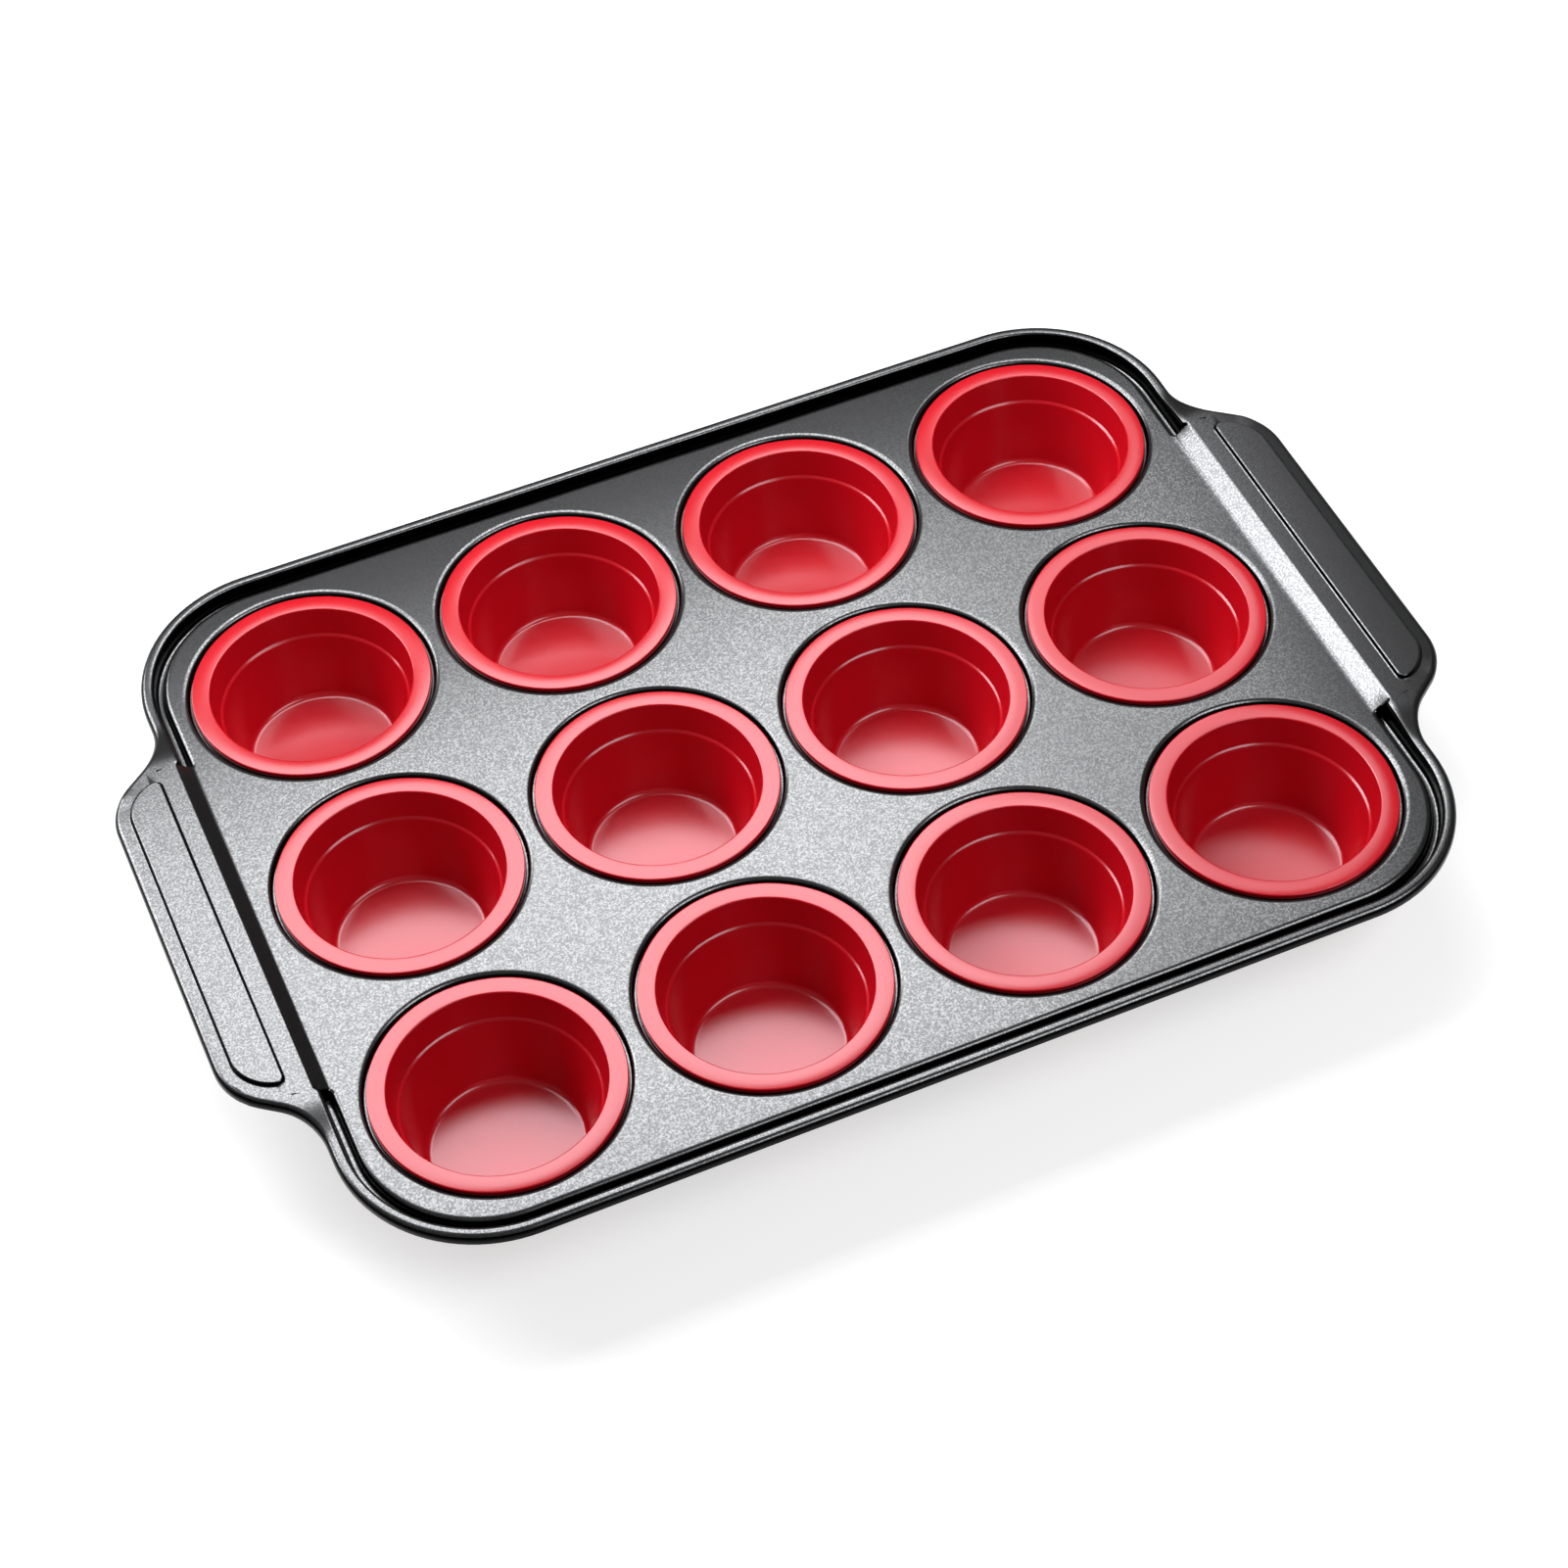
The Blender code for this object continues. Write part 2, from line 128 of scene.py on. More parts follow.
def color(name, description, default):
    """A colour in linear light."""
    return FloatVectorProperty(
        name=name, description=description, default=default, min=0.0, max=1.0, subtype="COLOR"
    )


class PanTraySizes(PropertyGroup):
    """Sizes of the pressed tray."""

    panel_top: length("Panel top", "Height of the raised panels' tops", TRAY_HIGH.z + PANEL_LIFT)
    handle_end: length("Handle end", "From the pan's middle to the end of a handle", TRAY_HIGH.x)
    side: length("Side", "From the pan's middle to the rim's outer face", TRAY_HIGH.y)
    handle_height: length("Handle height", "Rise of the handle plates over the floor", 4.0 * MM)
    rim_height: length("Rim height", "Rise of the rim over the floor", 2.2 * MM)
    sheet: length("Sheet", "Thickness of the steel with its coating", 0.7 * MM)
    rim_width: length("Rim width", "Width of the rim outside the groove", 4.2 * MM)
    skirt: length("Skirt", "Depth of the turned-down outer edge", 3.0 * MM)
    floor_half: length("Floor half", "From the pan's middle to the floor's edge line", 169.7 * MM)
    corner_radius: length("Corner radius", "Round of the floor's corners in plan", 37.6 * MM)
    groove_start: length("Groove start", "From the edge line to the groove's inner wall", 1.3 * MM)
    groove_width: length("Groove width", "From the edge line to the groove's outer wall", 4.2 * MM)
    groove_depth: length("Groove depth", "Depth of the groove below the floor", 3.7 * MM)
    groove_lean: length("Groove lean", "How far each groove wall leans in", 0.3 * MM)
    groove_round: length("Groove round", "Round between a groove wall and its bottom", 1.0 * MM)
    floor_roll: length("Floor roll", "Round of the floor's edge over the groove", 1.8 * MM)
    rim_roll: length("Rim roll", "Round of the rim's inner edge", 1.5 * MM)
    edge_roll: length("Edge roll", "Round of the rim's and handles' outer edge", 1.8 * MM)
    shoulder_margin: length("Shoulder margin", "Straight before a shoulder", 5.3 * MM)
    shoulder_length: length("Shoulder length", "Length of a shoulder across the pan", 38.0 * MM)
    shoulder_straight: length("Shoulder straight", "Straight between a shoulder's rounds", 6.5 * MM)
    ramp_start: length("Ramp start", "From the edge line to the ramp's foot", 0.2 * MM)
    ramp_width: length("Ramp width", "Width of the ramp up to a handle", 6.2 * MM)
    ramp_foot: length("Ramp foot", "Round at the foot of the ramp", 2.2 * MM)
    ramp_head: length("Ramp head", "Round at the head of the ramp", 1.2 * MM)
    ramp_setback: length("Ramp setback", "From a shoulder's head to the groove's end", 20.4 * MM)
    notch: length("Notch", "Length over which groove turns into ramp", 2.2 * MM)
    panel_rise: length("Panel rise", "Rise of a raised panel over its handle plate", 1.2 * MM)
    panel_from_ramp: length("Panel from ramp", "Plate between the ramp and a panel", 5.2 * MM)
    panel_from_edge: length("Panel from edge", "Plate from a panel to a handle's end", 4.6 * MM)
    panel_from_notch: length("Panel from notch", "From the groove's end to a panel's end", 5.9 * MM)
    panel_outer_round: length("Panel outer round", "Wide rounds of a panel's outline", 14.0 * MM)
    panel_inner_round: length("Panel inner round", "Tight rounds of a panel's outline", 3.2 * MM)
    panel_slope: length("Panel slope", "Width of a panel's wall without its rolls", 0.75 * MM)
    panel_roll: length("Panel roll", "Half width of the rolls of a panel's wall", 0.3 * MM)
    crown: length("Crown", "How far a handle's border falls towards its edge", 0.2 * MM)
    seat_radius: length("Seat radius", "Radius of a seat's wall", 38.8 * MM)
    seat_depth: length("Seat depth", "Depth of a seat below the floor", 2.3 * MM)
    seat_roll: length("Seat roll", "Round of a seat's edge", 2.0 * MM)
    seat_round: length("Seat round", "Round between a seat's wall and its bottom", 0.25 * MM)
    hole_radius: length("Hole radius", "Radius of the hole under a cup", 34.1 * MM)
    hole_roll: length("Hole roll", "Round of the hole's edge", 0.9 * MM)
    hole_lip: length("Hole lip", "Depth of the hole's turned-down lip", 2.8 * MM)
    round_steps: count("Round steps", "Steps round each seat", 96)
    corner_steps: count("Corner steps", "Steps round each corner of the rim", 24)
    shoulder_steps: count("Shoulder steps", "Steps along each round of a shoulder", 12)
    bend_steps: count("Bend steps", "Steps across each rolled edge", 6)
    notch_steps: count("Notch steps", "Steps from the groove to the ramp", 7)
    panel_outer_steps: count("Panel outer steps", "Steps round each wide round of a panel", 16)
    panel_inner_steps: count("Panel inner steps", "Steps round each tight round of a panel", 10)


class PanCupSizes(PropertyGroup):
    """Sizes of a silicone cup, radii from its axis and depths from its top."""

    height: length("Height", "Height of a cup", CUP_HIGH.z - CUP_LOW.z)
    flange_radius: length("Flange radius", "Radius of the flange", FLANGE_RADIUS)
    flange_width: length("Flange width", "Width of the flange's flat ring", 5.7 * MM)
    flange_thickness: length("Flange thickness", "Thickness of the flange", 2.0 * MM)
    wall: length("Wall", "Thickness of the silicone", 1.5 * MM)
    neck: length("Neck", "Depth of the neck that grips the tray's hole", 4.4 * MM)
    upper_taper: length("Upper taper", "How much the wall closes in above the ledge", 2.1 * MM)
    ledge_depth: length("Ledge depth", "Depth of the ledge inside", 9.2 * MM)
    ledge_width: length("Ledge width", "Width of the ledge inside", 0.9 * MM)
    ledge_drop: length("Ledge drop", "Fall across the ledge", 0.6 * MM)
    lower_taper: length("Lower taper", "How much the wall closes in below the ledge", 5.3 * MM)
    base: length("Base", "Thickness of the base", 1.8 * MM)
    base_round: length("Base round", "Round under the base", 1.3 * MM)
    body_round: length("Body round", "Round outside the ledge", 1.5 * MM)
    neck_round: length("Neck round", "Round at the foot of the neck", 1.0 * MM)
    collar_round: length("Collar round", "Round between the neck and the flange", 0.4 * MM)
    flange_round: length("Flange round", "Round of the flange's lower edge", 0.5 * MM)
    flange_roll: length("Flange roll", "Round of the flange's upper edge", 0.45 * MM)
    mouth_round: length("Mouth round", "Round of the mouth's edge", 0.5 * MM)
    ledge_round: length("Ledge round", "Round at the ledge's edge", 0.4 * MM)
    ledge_foot: length("Ledge foot", "Round under the ledge", 1.0 * MM)
    inner_round: length("Inner round", "Round between the wall and the base inside", 2.2 * MM)
    steps: count("Steps", "Steps round a cup", 128)
    bend_steps: count("Bend steps", "Steps across each rounded edge", 5)


class PanColors(PropertyGroup):
    """Colours and finishes of the pan."""

    coating_dark: color("Coating dark", "Ground colour of the coating", (0.057, 0.058, 0.06))
    coating_light: color("Coating light", "Colour of the coating's flecks", (0.109, 0.11, 0.113))
    coating_gloss: share("Coating roughness", "Roughness of the coating", 0.215)
    silicone: color("Silicone", "Colour of the cups", (0.43, 0.003, 0.009))
    silicone_gloss: share("Silicone roughness", "Roughness of the silicone", 0.19)
    floor: color("Floor", "Colour of the floor", (0.5, 0.5, 0.5))


def plate_level(tray):
    """Height of the handle plates above the ground."""
    return tray.panel_top - tray.panel_rise


def floor_level(tray):
    """Height of the tray's floor above the ground."""
    return plate_level(tray) - tray.handle_height


def rim_offset(tray):
    """From the floor's edge to the rim's outer face."""
    return tray.groove_width + tray.rim_width


def floor_seam(tray):
    """Where the flat floor meets the border and the ramps, from the pan's middle."""
    return tray.floor_half - FLOOR_LAP


def rim_seam(tray):
    """Where the rim's flat meets the handle plates, from the pan's middle."""
    return tray.floor_half + rim_offset(tray) - tray.edge_roll - RIM_LAP


def shoulder_foot(tray):
    """Where a shoulder leaves the rim, along the pan's width."""
    return tray.side - rim_offset(tray) - tray.corner_radius - tray.shoulder_margin


def notch_line(tray):
    """Where the groove ends, along the pan's width."""
    return shoulder_foot(tray) - tray.shoulder_length + tray.ramp_setback


def rim_fall(tray, y):
    """How far the rim has fallen from the handle plate's level at a place, from 0 to 1."""
    foot = shoulder_foot(tray)
    run = (abs(y) - notch_line(tray)) / (foot - notch_line(tray))
    run = min(max(run, 0.0), 1.0)
    return run * run * (3 - 2 * run)


def near(value, target):
    """Whether two lengths are the same."""
    return abs(value - target) < CLOSE


def select(piece, test, kind="VERT"):
    """Select the verts or edges whose corners all pass a test of their place."""
    bpy.ops.mesh.select_mode(type=kind)
    bpy.ops.mesh.select_all(action="DESELECT")
    mesh = bmesh.from_edit_mesh(piece.data)
    found = False
    for part in mesh.verts if kind == "VERT" else mesh.edges:
        corners = [part] if kind == "VERT" else part.verts
        if all(test(corner.co) for corner in corners):
            part.select_set(True)
            found = True
    mesh.select_flush_mode()
    bmesh.update_edit_mesh(piece.data)
    if not found:
        raise RuntimeError(f"{piece.name}: nothing was found to select")


def add_point(name, place):
    """Start a piece as a single point: a small plane merged to its middle."""
    bpy.ops.object.select_all(action="DESELECT")
    bpy.ops.mesh.primitive_plane_add(size=MM, location=(0.0, 0.0, 0.0))
    piece = bpy.context.active_object
    piece.name = piece.data.name = name
    bpy.ops.object.mode_set(mode="EDIT")
    bpy.ops.mesh.select_mode(type="VERT")
    bpy.ops.mesh.select_all(action="SELECT")
    bpy.ops.mesh.merge(type="CENTER")
    bpy.ops.transform.translate(value=place)
    return piece


def extrude(move):
    """Extrude what is selected."""
    bpy.ops.mesh.extrude_region_move(TRANSFORM_OT_translate={"value": move})


def round_corners(reach, steps):
    """Round the selected corners of an outline; reach is measured along its sides."""
    bpy.ops.mesh.bevel(
        offset=reach, offset_type="OFFSET", segments=steps, profile=0.5, affect="VERTICES"
    )


def merge_doubles():
    """Merge the verts of a piece that lie in the same place."""
    bpy.ops.mesh.select_all(action="SELECT")
    bpy.ops.mesh.remove_doubles(threshold=5 * CLOSE)


def spin(angle, steps, x, y):
    """Turn what is selected about an upright line, counterclockwise from above."""
    bpy.ops.mesh.spin(steps=steps, angle=-angle, center=(x, y, 0.0), axis=(0.0, 0.0, 1.0))


def draw_section(name, corners, y, steps):
    """Draw a section in a plane of constant Y, corner to corner, then round its corners."""
    piece = add_point(name, (corners[0][0], y, corners[0][1]))
    for here, there in zip(corners, corners[1:]):
        extrude((there[0] - here[0], 0.0, there[1] - here[1]))
    for before, here, after in zip(corners, corners[1:], corners[2:]):
        if len(here) == 3:
            x, z, radius = here
            arrive = Vector((x - before[0], z - before[1]))
            leave = Vector((after[0] - x, after[1] - z))
            reach = radius * math.tan(arrive.angle(leave) / 2)
            select(piece, lambda co: near(co.x, x) and near(co.z, z))
            round_corners(reach, steps)
    bpy.ops.mesh.select_all(action="SELECT")
    return piece


def to_object_mode():
    """Leave edit mode."""
    bpy.ops.object.mode_set(mode="OBJECT")


def select_objects(pieces):
    """Select only these pieces, the first of them active."""
    bpy.ops.object.select_all(action="DESELECT")
    for piece in pieces:
        piece.select_set(True)
    bpy.context.view_layer.objects.active = pieces[0]


def join(pieces):
    """Join pieces into the first, with verts in the same place merged."""
    select_objects(pieces)
    bpy.ops.object.join()
    bpy.ops.object.mode_set(mode="EDIT")
    merge_doubles()
    return pieces[0]


def apply_modifier(piece, kind, **values):
    """Add a modifier with these values and apply it."""
    select_objects([piece])
    modifier = piece.modifiers.new(kind.lower(), kind)
    for name, value in values.items():
        setattr(modifier, name, value)
    bpy.ops.object.modifier_apply(modifier=modifier.name)


def mirror(piece, axis):
    """Mirror a piece across the pan's middle."""
    axes = [place == axis for place in range(3)]
    apply_modifier(piece, "MIRROR", use_axis=axes, use_clip=True, merge_threshold=0.1 * MM)


def draw_border(tray):
    """Groove, rim and skirt of a quarter pan, the outer edge led out round the shoulder."""
    level, top = floor_level(tray), plate_level(tray)
    edge, rim = tray.floor_half, tray.floor_half + rim_offset(tray)
    near_wall = edge + tray.groove_start
    far_wall = edge + tray.groove_width - tray.groove_lean
    bottom = level - tray.groove_depth
    inner_seam = rim_seam(tray)
    outer_seam = rim - tray.edge_roll - EDGE_LAP
    corners = (
        (floor_seam(tray), level),
        (near_wall, level, tray.floor_roll),
        (near_wall + tray.groove_lean, bottom, tray.groove_round),
        (far_wall, bottom, tray.groove_round),
        (edge + tray.groove_width, top, tray.rim_roll),
        (inner_seam, top),
        (outer_seam, top),
        (rim, top, tray.edge_roll),
        (rim, top - tray.skirt),
    )
    centre_x = tray.floor_half - tray.corner_radius
    centre_y = tray.side - rim_offset(tray) - tray.corner_radius
    border = draw_section("border", corners, centre_y, tray.bend_steps)
    spin(math.pi / 2, tray.corner_steps, centre_x, centre_y)
    extrude((-centre_x, 0.0, 0.0))
    foot, notch = shoulder_foot(tray), notch_line(tray)
    select(border, lambda co: near(co.y, centre_y) and co.x > centre_x)
    extrude((0.0, foot - centre_y, 0.0))

    select(border, lambda co: near(co.y, foot) and co.x < inner_seam + CLOSE)
    for _ in range(tray.shoulder_steps):
        extrude((0.0, (notch - foot) / tray.shoulder_steps, 0.0))

    reach = tray.handle_end - rim
    straight = tray.shoulder_straight
    turn = 2 * math.atan(reach / (tray.shoulder_length + straight))
    radius = (tray.shoulder_length - straight * math.cos(turn)) / (2 * math.sin(turn))
    head = foot - tray.shoulder_length
    select(border, lambda co: near(co.y, foot) and co.x > outer_seam - CLOSE)
    spin(turn, tray.shoulder_steps, rim + radius, foot)
    extrude((straight * math.sin(turn), -straight * math.cos(turn), 0.0))
    spin(-turn, tray.shoulder_steps, tray.handle_end - radius, head)
    extrude((0.0, -head, 0.0))
    to_object_mode()
    return border


def draw_ramp(tray):
    """The ramp up to a handle, with as many points across as the groove has."""
    level, top, edge = floor_level(tray), plate_level(tray), tray.floor_half
    rounds = tray.ramp_foot + tray.ramp_head
    rise = tray.handle_height - rounds
    slope = math.atan2(rise, tray.ramp_width)
    slope += math.asin(rounds / math.hypot(tray.ramp_width, rise))
    foot = edge + tray.ramp_start + tray.ramp_foot * math.tan(slope / 2)
    head = edge + tray.ramp_start + tray.ramp_width - tray.ramp_head * math.tan(slope / 2)
    corners = (
        (floor_seam(tray), level),
        (foot, level, tray.ramp_foot),
        (head, top, tray.ramp_head),
        (rim_seam(tray), top),
    )
    ramp = draw_section("ramp", corners, 0.0, tray.bend_steps)
    low = level + tray.ramp_foot * (1 - math.cos(slope)) - CLOSE
    high = top - tray.ramp_head * (1 - math.cos(slope)) + CLOSE
    select(ramp, lambda co: low < co.z < high, "EDGE")
    bpy.ops.mesh.subdivide(number_cuts=2 * (tray.bend_steps + 1))
    bpy.ops.mesh.select_all(action="SELECT")
    end = notch_line(tray) - tray.notch
    for part in RAMP_PARTS:
        extrude((0.0, part * end, 0.0))
    to_object_mode()
    return ramp


def bridge_notch(quarter, tray):
    """Turn the groove's end into the ramp."""
    notch = notch_line(tray)
    ends = (notch, notch - tray.notch)
    seam = rim_seam(tray)
    select(quarter, lambda co: co.x < seam + CLOSE and any(near(co.y, end) for end in ends), "EDGE")
    bpy.ops.mesh.bridge_edge_loops(
        type="SINGLE", number_cuts=tray.notch_steps, interpolation="SURFACE", smoothness=1.0
    )


def panel_section(tray):
    """Places across a panel's wall, inwards and upwards from its foot: roll, slope and roll."""
    slope = math.atan2(tray.panel_rise, tray.panel_slope)
    radius = tray.panel_roll / math.tan(slope / 2)
    width = 2 * tray.panel_roll + tray.panel_slope
    turns = [slope * step / tray.bend_steps for step in range(tray.bend_steps + 1)]
    lower = [(radius * math.sin(turn), radius * (1 - math.cos(turn))) for turn in turns]
    return lower + [(width - across, tray.panel_rise - up) for across, up in reversed(lower)]


def draw_panel(tray):
    """Raise the panel of the right handle: rounded outline, rolled foot, wall and rolled edge."""
    level = plate_level(tray)
    near_x = tray.floor_half + tray.ramp_start + tray.ramp_width + tray.panel_from_ramp
    far_x = tray.handle_end - tray.panel_from_edge
    # A tight and a wide round meet at each end of the panel, their middles apart along Y.
    wide, tight = tray.panel_outer_round, tray.panel_inner_round
    tight_y = notch_line(tray) - tray.panel_from_notch - tight
    overlap = wide + tight + near_x - far_x
    apart = math.sqrt((wide - tight) ** 2 - overlap**2)
    turn = math.atan2(apart, overlap)
    wide_reach = wide * math.tan(turn / 2)
    tight_reach = tight * math.tan((math.pi - turn) / 2)
    bpy.ops.object.select_all(action="DESELECT")
    bpy.ops.mesh.primitive_plane_add(size=2.0, location=(0.0, 0.0, 0.0))
    panel = bpy.context.active_object
    panel.name = panel.data.name = "panel"
    bpy.ops.object.mode_set(mode="EDIT")
    bpy.ops.mesh.select_all(action="SELECT")
    bpy.ops.transform.resize(value=((far_x - near_x) / 2, tight_y + tight_reach, 1.0))
    bpy.ops.transform.translate(value=((near_x + far_x) / 2, 0.0, level))
    select(panel, lambda co: near(co.x, far_x))
    stretch = (tight_y - apart + wide_reach) / (tight_y + tight_reach)
    bpy.ops.transform.resize(value=(1.0, stretch, 1.0), center_override=(0.0, 0.0, 0.0))
    select(panel, lambda co: near(co.x, far_x))
    round_corners(wide_reach - ROUND_GAP, tray.panel_outer_steps)
    select(panel, lambda co: near(co.x, near_x))
    round_corners(tight_reach - ROUND_GAP, tray.panel_inner_steps)
    bpy.ops.mesh.select_mode(type="VERT")
    merge_doubles()
    bpy.ops.mesh.select_mode(type="FACE")
    bpy.ops.mesh.select_all(action="SELECT")
    bpy.ops.mesh.inset(thickness=PANEL_LAP)
    section = panel_section(tray)
    for here, there in zip(section, section[1:]):
        bpy.ops.mesh.inset(thickness=there[0] - here[0], depth=there[1] - here[1])
    bpy.ops.mesh.inset(thickness=PANEL_LAP)
    to_object_mode()
    return panel


def fill_outline(piece, test):
    """Fill the flat outline whose open edges' corners all pass a test of their place."""
    bpy.ops.mesh.select_mode(type="EDGE")
    bpy.ops.mesh.select_all(action="DESELECT")
    mesh = bmesh.from_edit_mesh(piece.data)
    for edge in mesh.edges:
        if edge.is_boundary and all(test(vert.co) for vert in edge.verts):
            edge.select_set(True)
    bmesh.update_edit_mesh(piece.data)
    bpy.ops.mesh.fill(use_beauty=True)


def fill_plate(half, tray):
    """Fill the plate between the ramp, the panel and the outer edge, with rows where it falls."""
    top = plate_level(tray)
    seam = rim_seam(tray)
    foot, notch = shoulder_foot(tray), notch_line(tray)

    def on_plate(place):
        """Whether a place lies on the handle's plate."""
        return near(place.z, top) and place.x > seam - CLOSE

    fill_outline(half, lambda co: on_plate(co) and abs(co.y) < foot + CLOSE)
    for side in (1, -1):
        for row in range(tray.shoulder_steps):
            y = side * (notch + (foot - notch) * row / tray.shoulder_steps)
            bpy.ops.mesh.select_mode(type="FACE")
            bpy.ops.mesh.select_all(action="DESELECT")
            mesh = bmesh.from_edit_mesh(half.data)
            for face in mesh.faces:
                ys = [vert.co.y for vert in face.verts]
                crossed = min(ys) < y - CLOSE and max(ys) > y + CLOSE
                if crossed and all(on_plate(vert.co) for vert in face.verts):
                    face.select_set(True)
            bmesh.update_edit_mesh(half.data)
            bpy.ops.mesh.bisect(plane_co=(0.0, y, 0.0), plane_no=(0.0, 1.0, 0.0))


def lower_rim(piece, tray):
    """Let the rim down along the shoulders and sides, and the handle's border at its edge."""
    rim = piece.vertex_groups.new(name="rim")
    border = piece.vertex_groups.new(name="border")
    above = floor_level(tray) + 0.5 * MM
    notch = notch_line(tray)
    outer = tray.handle_end - tray.panel_from_edge + CLOSE
    inner = outer - tray.panel_outer_round
    for vert in piece.data.vertices:
        if vert.co.z > above and abs(vert.co.y) > notch:
            rim.add([vert.index], rim_fall(tray, vert.co.y), "REPLACE")
        out = (vert.co.x - inner) / (tray.handle_end - inner)
        on_panel = vert.co.x < outer and abs(vert.co.y) < notch - tray.panel_from_notch + CLOSE
        if vert.co.z > above and out > 0.0 and not on_panel:
            border.add([vert.index], out, "REPLACE")
    for group, rise in ((rim, tray.rim_height - tray.handle_height), (border, -tray.crown)):
        apply_modifier(
            piece,
            "DISPLACE",
            direction="Z",
            mid_level=0.0,
            strength=rise,
            vertex_group=group.name,
        )
    piece.vertex_groups.clear()


def model_seat(tray):
    """Turn one seat: rolled edge, wall, flat ring and the hole's turned-down lip."""
    level = floor_level(tray)
    low = level - tray.seat_depth
    corners = (
        (tray.seat_radius + tray.seat_roll + SEAT_LAP, level),
        (tray.seat_radius, level, tray.seat_roll),
        (tray.seat_radius, low, tray.seat_round),
        (tray.hole_radius, low, tray.hole_roll),
        (tray.hole_radius, low - tray.hole_lip),
    )
    seat = draw_section("seat", corners, 0.0, tray.bend_steps)
    spin(math.tau, tray.round_steps, 0.0, 0.0)
    merge_doubles()
    to_object_mode()
    return seat


def cup_places():
    """Node name and plan position of every cup, from the CAD."""
    for name in CUP_NODES:
        low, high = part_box(name)
        yield name, Vector(((low.x + high.x) / 2, (low.y + high.y) / 2, 0.0))


def copy_at(piece, name, place):
    """A copy of a piece with its own mesh, moved in the mesh."""
    copied = piece.copy()
    copied.data = piece.data.copy()
    copied.name = copied.data.name = name
    copied.data.transform(Matrix.Translation(place))
    bpy.context.collection.objects.link(copied)
    return copied


def model_tray(tray):
    """Model the whole pressed sheet and give it its thickness."""
    quarter = join([draw_border(tray), draw_ramp(tray)])
    bridge_notch(quarter, tray)
    to_object_mode()
    mirror(quarter, 1)
    half = join([quarter, draw_panel(tray)])
    fill_plate(half, tray)
    to_object_mode()
    lower_rim(half, tray)
    mirror(half, 0)
    seat = model_seat(tray)
    seats = [copy_at(seat, name, place) for name, place in cup_places()]
    bpy.data.objects.remove(seat, do_unlink=True)
    sheet = join([half] + seats)
    level = floor_level(tray)
    fill_outline(sheet, lambda co: near(co.z, level))
    bpy.ops.mesh.select_all(action="SELECT")
    bpy.ops.mesh.normals_make_consistent(inside=False)
    # The largest face lies in the floor, and its upper side is the sheet's outer one.
    mesh = bmesh.from_edit_mesh(sheet.data)
    if max(mesh.faces, key=lambda face: face.calc_area()).normal.z < 0:
        bpy.ops.mesh.flip_normals()
    to_object_mode()
    sheet.name = sheet.data.name = "coated_tray"
    apply_modifier(
        sheet,
        "SOLIDIFY",
        thickness=tray.sheet,
        offset=-1.0,
        use_even_offset=True,
        use_quality_normals=True,
    )
    bpy.ops.object.shade_smooth_by_angle(angle=SMOOTH_ANGLE)
    return sheet


def model_cup(cup):
    """Turn one cup from its half section, from the base's middle round to the inside."""
    top = cup.height
    mouth = cup.flange_radius - cup.flange_width
    ledge = mouth - cup.upper_taper
    body = ledge - cup.ledge_width
    base = body - cup.lower_taper + cup.wall
    under = top - cup.flange_thickness
    body_top = top - cup.ledge_depth - cup.ledge_drop
    neck = mouth + cup.wall
    corners = (
        (0.0, 0.0),
        (base, 0.0, cup.base_round),
        (body + cup.wall, body_top - cup.wall, cup.body_round),
        (neck, under - cup.neck, cup.neck_round),
        (neck, under, cup.collar_round),
        (cup.flange_radius, under, cup.flange_round),
        (cup.flange_radius, top, cup.flange_roll),
        (mouth, top, cup.mouth_round),
        (ledge, top - cup.ledge_depth, cup.ledge_round),
        (body, body_top, cup.ledge_foot),
        (base - cup.wall, cup.base, cup.inner_round),
        (0.0, cup.base),
    )
    turned = draw_section("silicone_cup", corners, 0.0, cup.bend_steps)
    spin(math.tau, cup.steps, 0.0, 0.0)
    merge_doubles()
    bpy.ops.mesh.normals_make_consistent(inside=False)
    to_object_mode()
    select_objects([turned])
    bpy.ops.object.shade_smooth_by_angle(angle=SMOOTH_ANGLE)
    return turned


def new_group(name, inputs, outputs):
    """A shader node group with named sockets and its end nodes."""
    group = bpy.data.node_groups.new(name, "ShaderNodeTree")
    for socket, kind, default in inputs:
        made = group.interface.new_socket(name=socket, in_out="INPUT", socket_type=kind)
        if default is not None:
            made.default_value = default
    for socket, kind in outputs:
        group.interface.new_socket(name=socket, in_out="OUTPUT", socket_type=kind)
    return group, group.nodes.new("NodeGroupInput"), group.nodes.new("NodeGroupOutput")


